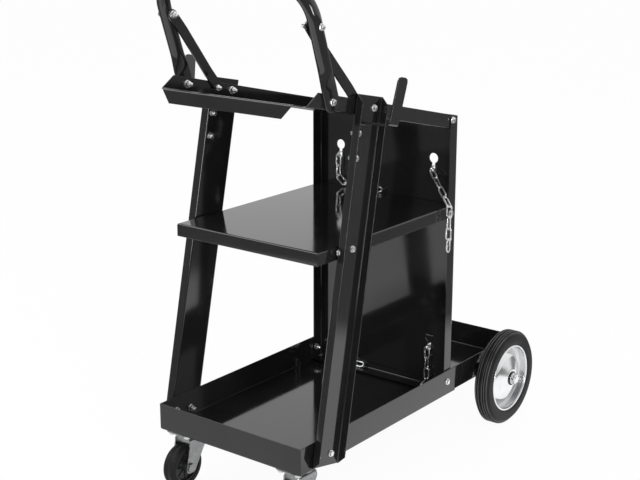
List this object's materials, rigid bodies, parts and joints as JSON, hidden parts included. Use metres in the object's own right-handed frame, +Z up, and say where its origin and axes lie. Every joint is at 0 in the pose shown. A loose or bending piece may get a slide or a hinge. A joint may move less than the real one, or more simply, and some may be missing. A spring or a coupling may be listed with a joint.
{
  "type": "welding cart",
  "caption": "Black steel welding cart with a sloping top shelf, middle shelf, bottom tray, cylinder platform, chains, push handle, cable hooks, swivel casters and rear wheels.",
  "frame": {"origin": "on the floor under the middle of the cart's overall box", "axes": "+X to the right seen from the front, +Y to the rear, towards the cylinder platform, +Z up"},
  "size_m": [0.4416, 0.706, 0.8748],
  "materials": {
    "coat": "glossy black powder coat",
    "zinc": "bright zinc plate",
    "rubber": "matt dark rubber",
    "plastic": "satin black plastic"
  },
  "bodies": {
    "frame": {"front_tray": "coat", "rear_tray": "coat", "back_panel": "coat", "mid_shelf": "coat", "top_shelf": "coat", "left_post": "coat", "right_post": "coat", "left_cable_hook": "coat", "right_cable_hook": "coat", "handle": "coat", "left_brace": "coat", "right_brace": "coat", "axle": "zinc", "left_axle_bracket": "coat", "right_axle_bracket": "coat", "left_axle_collar": "zinc", "right_axle_collar": "zinc", "left_axle_washer": "zinc", "right_axle_washer": "zinc", "left_axle_nut": "zinc", "right_axle_nut": "zinc", "left_caster_plate": "zinc", "right_caster_plate": "zinc", "left_caster_race": "zinc", "right_caster_race": "zinc", "left_caster_kingpin": "zinc", "right_caster_kingpin": "zinc", "upper_chain": "zinc", "lower_chain": "zinc"},
    "left_wheel": {"left_tyre": "rubber", "left_rim": "zinc", "left_wheel_bush": "plastic"},
    "left_swivel": {"left_caster_yoke": "zinc", "left_caster_pin": "zinc"},
    "left_caster_wheel": {"left_caster_tyre": "rubber", "left_caster_hub": "plastic"},
    "left_upper_tail": {"left_upper_chain_end": "zinc"},
    "left_lower_tail": {"left_lower_chain_end": "zinc"},
    "right_wheel": {"right_tyre": "rubber", "right_rim": "zinc", "right_wheel_bush": "plastic"},
    "right_swivel": {"right_caster_yoke": "zinc", "right_caster_pin": "zinc"},
    "right_caster_wheel": {"right_caster_tyre": "rubber", "right_caster_hub": "plastic"},
    "right_upper_tail": {"right_upper_chain_end": "zinc"},
    "right_lower_tail": {"right_lower_chain_end": "zinc"}
  },
  "joints": [
    {"name": "left_wheel_spin", "type": "hinge", "parent": "frame", "child": "left_wheel", "pos_m": [-0.174, 0.263, 0.09], "axis": [1, 0, 0], "continuous": true},
    {"name": "left_caster_swivel", "type": "hinge", "parent": "frame", "child": "left_swivel", "pos_m": [-0.12, -0.293, 0.0885], "axis": [0, 0, 1], "continuous": true},
    {"name": "left_caster_spin", "type": "hinge", "parent": "left_swivel", "child": "left_caster_wheel", "pos_m": [-0.12, -0.3155, 0.0375], "axis": [1, 0, 0], "continuous": true},
    {"name": "right_wheel_spin", "type": "hinge", "parent": "frame", "child": "right_wheel", "pos_m": [0.174, 0.263, 0.09], "axis": [1, 0, 0], "continuous": true},
    {"name": "right_caster_swivel", "type": "hinge", "parent": "frame", "child": "right_swivel", "pos_m": [0.12, -0.293, 0.0885], "axis": [0, 0, 1], "continuous": true},
    {"name": "right_caster_spin", "type": "hinge", "parent": "right_swivel", "child": "right_caster_wheel", "pos_m": [0.12, -0.3155, 0.0375], "axis": [1, 0, 0], "continuous": true},
    {"name": "right_upper_chain_swing", "type": "hinge", "parent": "frame", "child": "right_upper_tail", "pos_m": [0.15811, 0.07506, 0.45762], "axis": [0, -1, 0], "range_deg": [0, 60]},
    {"name": "left_upper_chain_swing", "type": "hinge", "parent": "frame", "child": "left_upper_tail", "pos_m": [-0.102, 0.10225, 0.49055], "axis": [-1, 0, 0], "range_deg": [0, 60]},
    {"name": "right_lower_chain_swing", "type": "hinge", "parent": "frame", "child": "right_lower_tail", "pos_m": [0.102, 0.10225, 0.15655], "axis": [-1, 0, 0], "range_deg": [0, 60]},
    {"name": "left_lower_chain_swing", "type": "hinge", "parent": "frame", "child": "left_lower_tail", "pos_m": [-0.102, 0.10225, 0.15655], "axis": [-1, 0, 0], "range_deg": [0, 60]}
  ]
}
